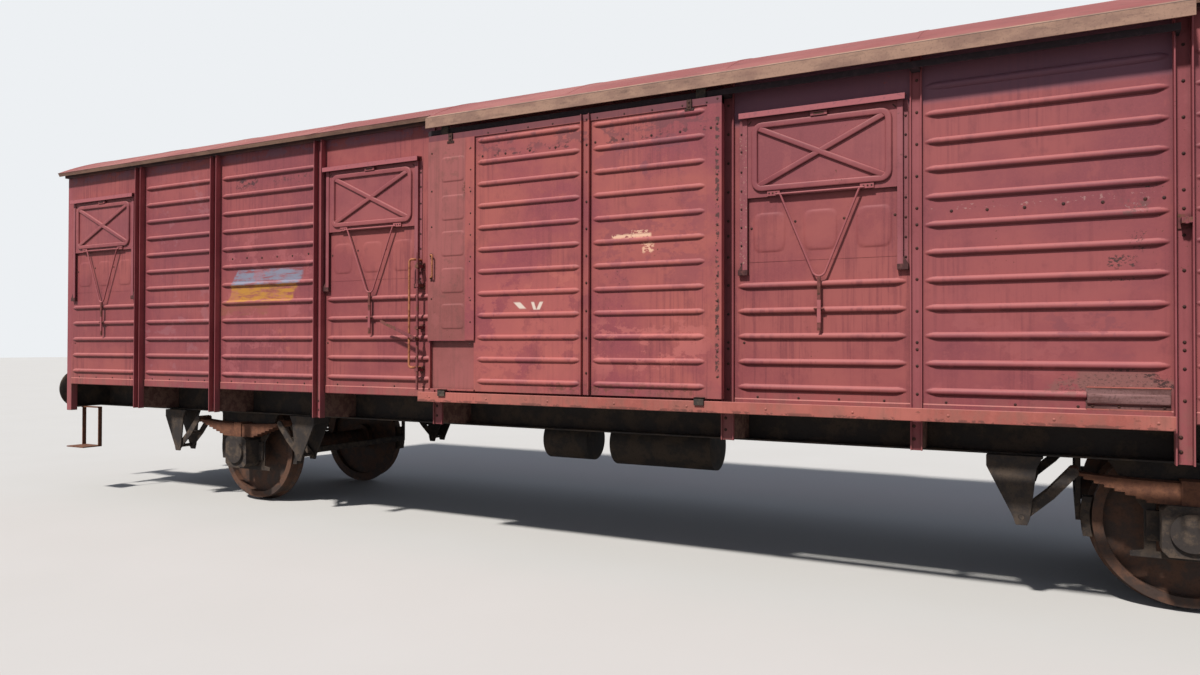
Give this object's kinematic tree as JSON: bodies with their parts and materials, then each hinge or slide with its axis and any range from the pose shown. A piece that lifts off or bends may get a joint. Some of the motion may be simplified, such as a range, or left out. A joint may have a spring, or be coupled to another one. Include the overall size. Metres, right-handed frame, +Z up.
{
  "type": "two-axle long covered goods wagon with sliding doors",
  "caption": "Long covered goods wagon on two axles, with ribbed steel sides, a sliding door each side and sliding vent hatches.",
  "frame": {"origin": "under the wagon's middle, level with the lowest points of the wheel flanges (28 mm below the rail head)", "axes": "+X along the wagon, +Z up, the near side with the door that slides towards +X faces -Y"},
  "size_m": [14.02, 3.112, 3.866],
  "materials": {
    "wall_paint": "faded wagon red over pressed sheet",
    "door_paint": "faded wagon red, more orange",
    "hatch_paint": "faded wagon red",
    "roof_paint": "chalky red roof paint",
    "eave_paint": "lichen and rust over red paint",
    "rail_paint": "faded orange-red paint",
    "frame_paint": "dark dusty underframe paint",
    "rusty_iron": "rusted bare iron",
    "cast_iron": "rough dark castings",
    "wheel_steel": "rolled steel with rust",
    "spring_steel": "oiled dusty spring steel",
    "floor_wood": "worn planks"
  },
  "bodies": {
    "wagon": {"axle_guards": "frame_paint", "axleboxes": "cast_iron", "brake_cylinder": "frame_paint", "brake_rigging": "cast_iron", "buffers_a": "cast_iron", "buffers_b": "cast_iron", "cant_rails": "eave_paint", "centre_sills": "frame_paint", "corner_posts": "wall_paint", "cross_bearers": "frame_paint", "door_frame_far": "wall_paint", "door_frame_near": "wall_paint", "door_hood_far": "eave_paint", "door_hood_near": "eave_paint", "door_locks": "rusty_iron", "door_rail_far": "rail_paint", "door_rail_near": "rail_paint", "door_track_far": "rusty_iron", "door_track_near": "rusty_iron", "draw_gear_a": "rusty_iron", "draw_gear_b": "rusty_iron", "end_wall_a": "wall_paint", "end_wall_b": "wall_paint", "floor_deck": "floor_wood", "hatch_guides": "wall_paint", "headstocks": "frame_paint", "leaf_springs": "spring_steel", "plain_panels_far": "wall_paint", "plain_panels_near": "wall_paint", "post_gussets": "frame_paint", "roof_bows": "frame_paint", "roof_skin": "roof_paint", "side_posts_far": "wall_paint", "side_posts_near": "wall_paint", "sole_bars": "frame_paint", "spring_brackets": "frame_paint", "spring_links": "spring_steel", "steps": "rusty_iron", "vent_panels_far": "wall_paint", "vent_panels_near": "wall_paint"},
    "wheelset_a": {"axle_a": "wheel_steel", "wheels_a": "wheel_steel"},
    "wheelset_b": {"axle_b": "wheel_steel", "wheels_b": "wheel_steel"},
    "door_near": {"door_handle_near": "rusty_iron", "door_leaf_near": "door_paint"},
    "door_far": {"door_handle_far": "rusty_iron", "door_leaf_far": "door_paint"},
    "hatch_far_1": {"hatch_far_1": "hatch_paint"},
    "hatch_far_2": {"hatch_far_2": "hatch_paint"},
    "hatch_far_3": {"hatch_far_3": "hatch_paint"},
    "hatch_far_4": {"hatch_far_4": "hatch_paint"},
    "hatch_near_1": {"hatch_near_1": "hatch_paint"},
    "hatch_near_2": {"hatch_near_2": "hatch_paint"},
    "hatch_near_3": {"hatch_near_3": "hatch_paint"},
    "hatch_near_4": {"hatch_near_4": "hatch_paint"}
  },
  "joints": [
    {"name": "wheelset_a_turn", "type": "hinge", "parent": "wagon", "child": "wheelset_a", "pos_m": [-4, 0, 0.528], "axis": [0, 1, 0], "continuous": true},
    {"name": "wheelset_b_turn", "type": "hinge", "parent": "wagon", "child": "wheelset_b", "pos_m": [4, 0, 0.528], "axis": [0, 1, 0], "continuous": true},
    {"name": "door_near_slide", "type": "slide", "parent": "wagon", "child": "door_near", "axis": [1, 0, 0], "range_m": [0, 2.5625]},
    {"name": "door_far_slide", "type": "slide", "parent": "wagon", "child": "door_far", "axis": [-1, 0, 0], "range_m": [0, 2.5625]},
    {"name": "hatch_far_1_slide", "type": "slide", "parent": "wagon", "child": "hatch_far_1", "axis": [0, 0, -1], "range_m": [0, 0.482]},
    {"name": "hatch_far_2_slide", "type": "slide", "parent": "wagon", "child": "hatch_far_2", "axis": [0, 0, -1], "range_m": [0, 0.482]},
    {"name": "hatch_far_3_slide", "type": "slide", "parent": "wagon", "child": "hatch_far_3", "axis": [0, 0, -1], "range_m": [0, 0.482]},
    {"name": "hatch_far_4_slide", "type": "slide", "parent": "wagon", "child": "hatch_far_4", "axis": [0, 0, -1], "range_m": [0, 0.482]},
    {"name": "hatch_near_1_slide", "type": "slide", "parent": "wagon", "child": "hatch_near_1", "axis": [0, 0, -1], "range_m": [0, 0.482]},
    {"name": "hatch_near_2_slide", "type": "slide", "parent": "wagon", "child": "hatch_near_2", "axis": [0, 0, -1], "range_m": [0, 0.482]},
    {"name": "hatch_near_3_slide", "type": "slide", "parent": "wagon", "child": "hatch_near_3", "axis": [0, 0, -1], "range_m": [0, 0.482]},
    {"name": "hatch_near_4_slide", "type": "slide", "parent": "wagon", "child": "hatch_near_4", "axis": [0, 0, -1], "range_m": [0, 0.482]}
  ]
}
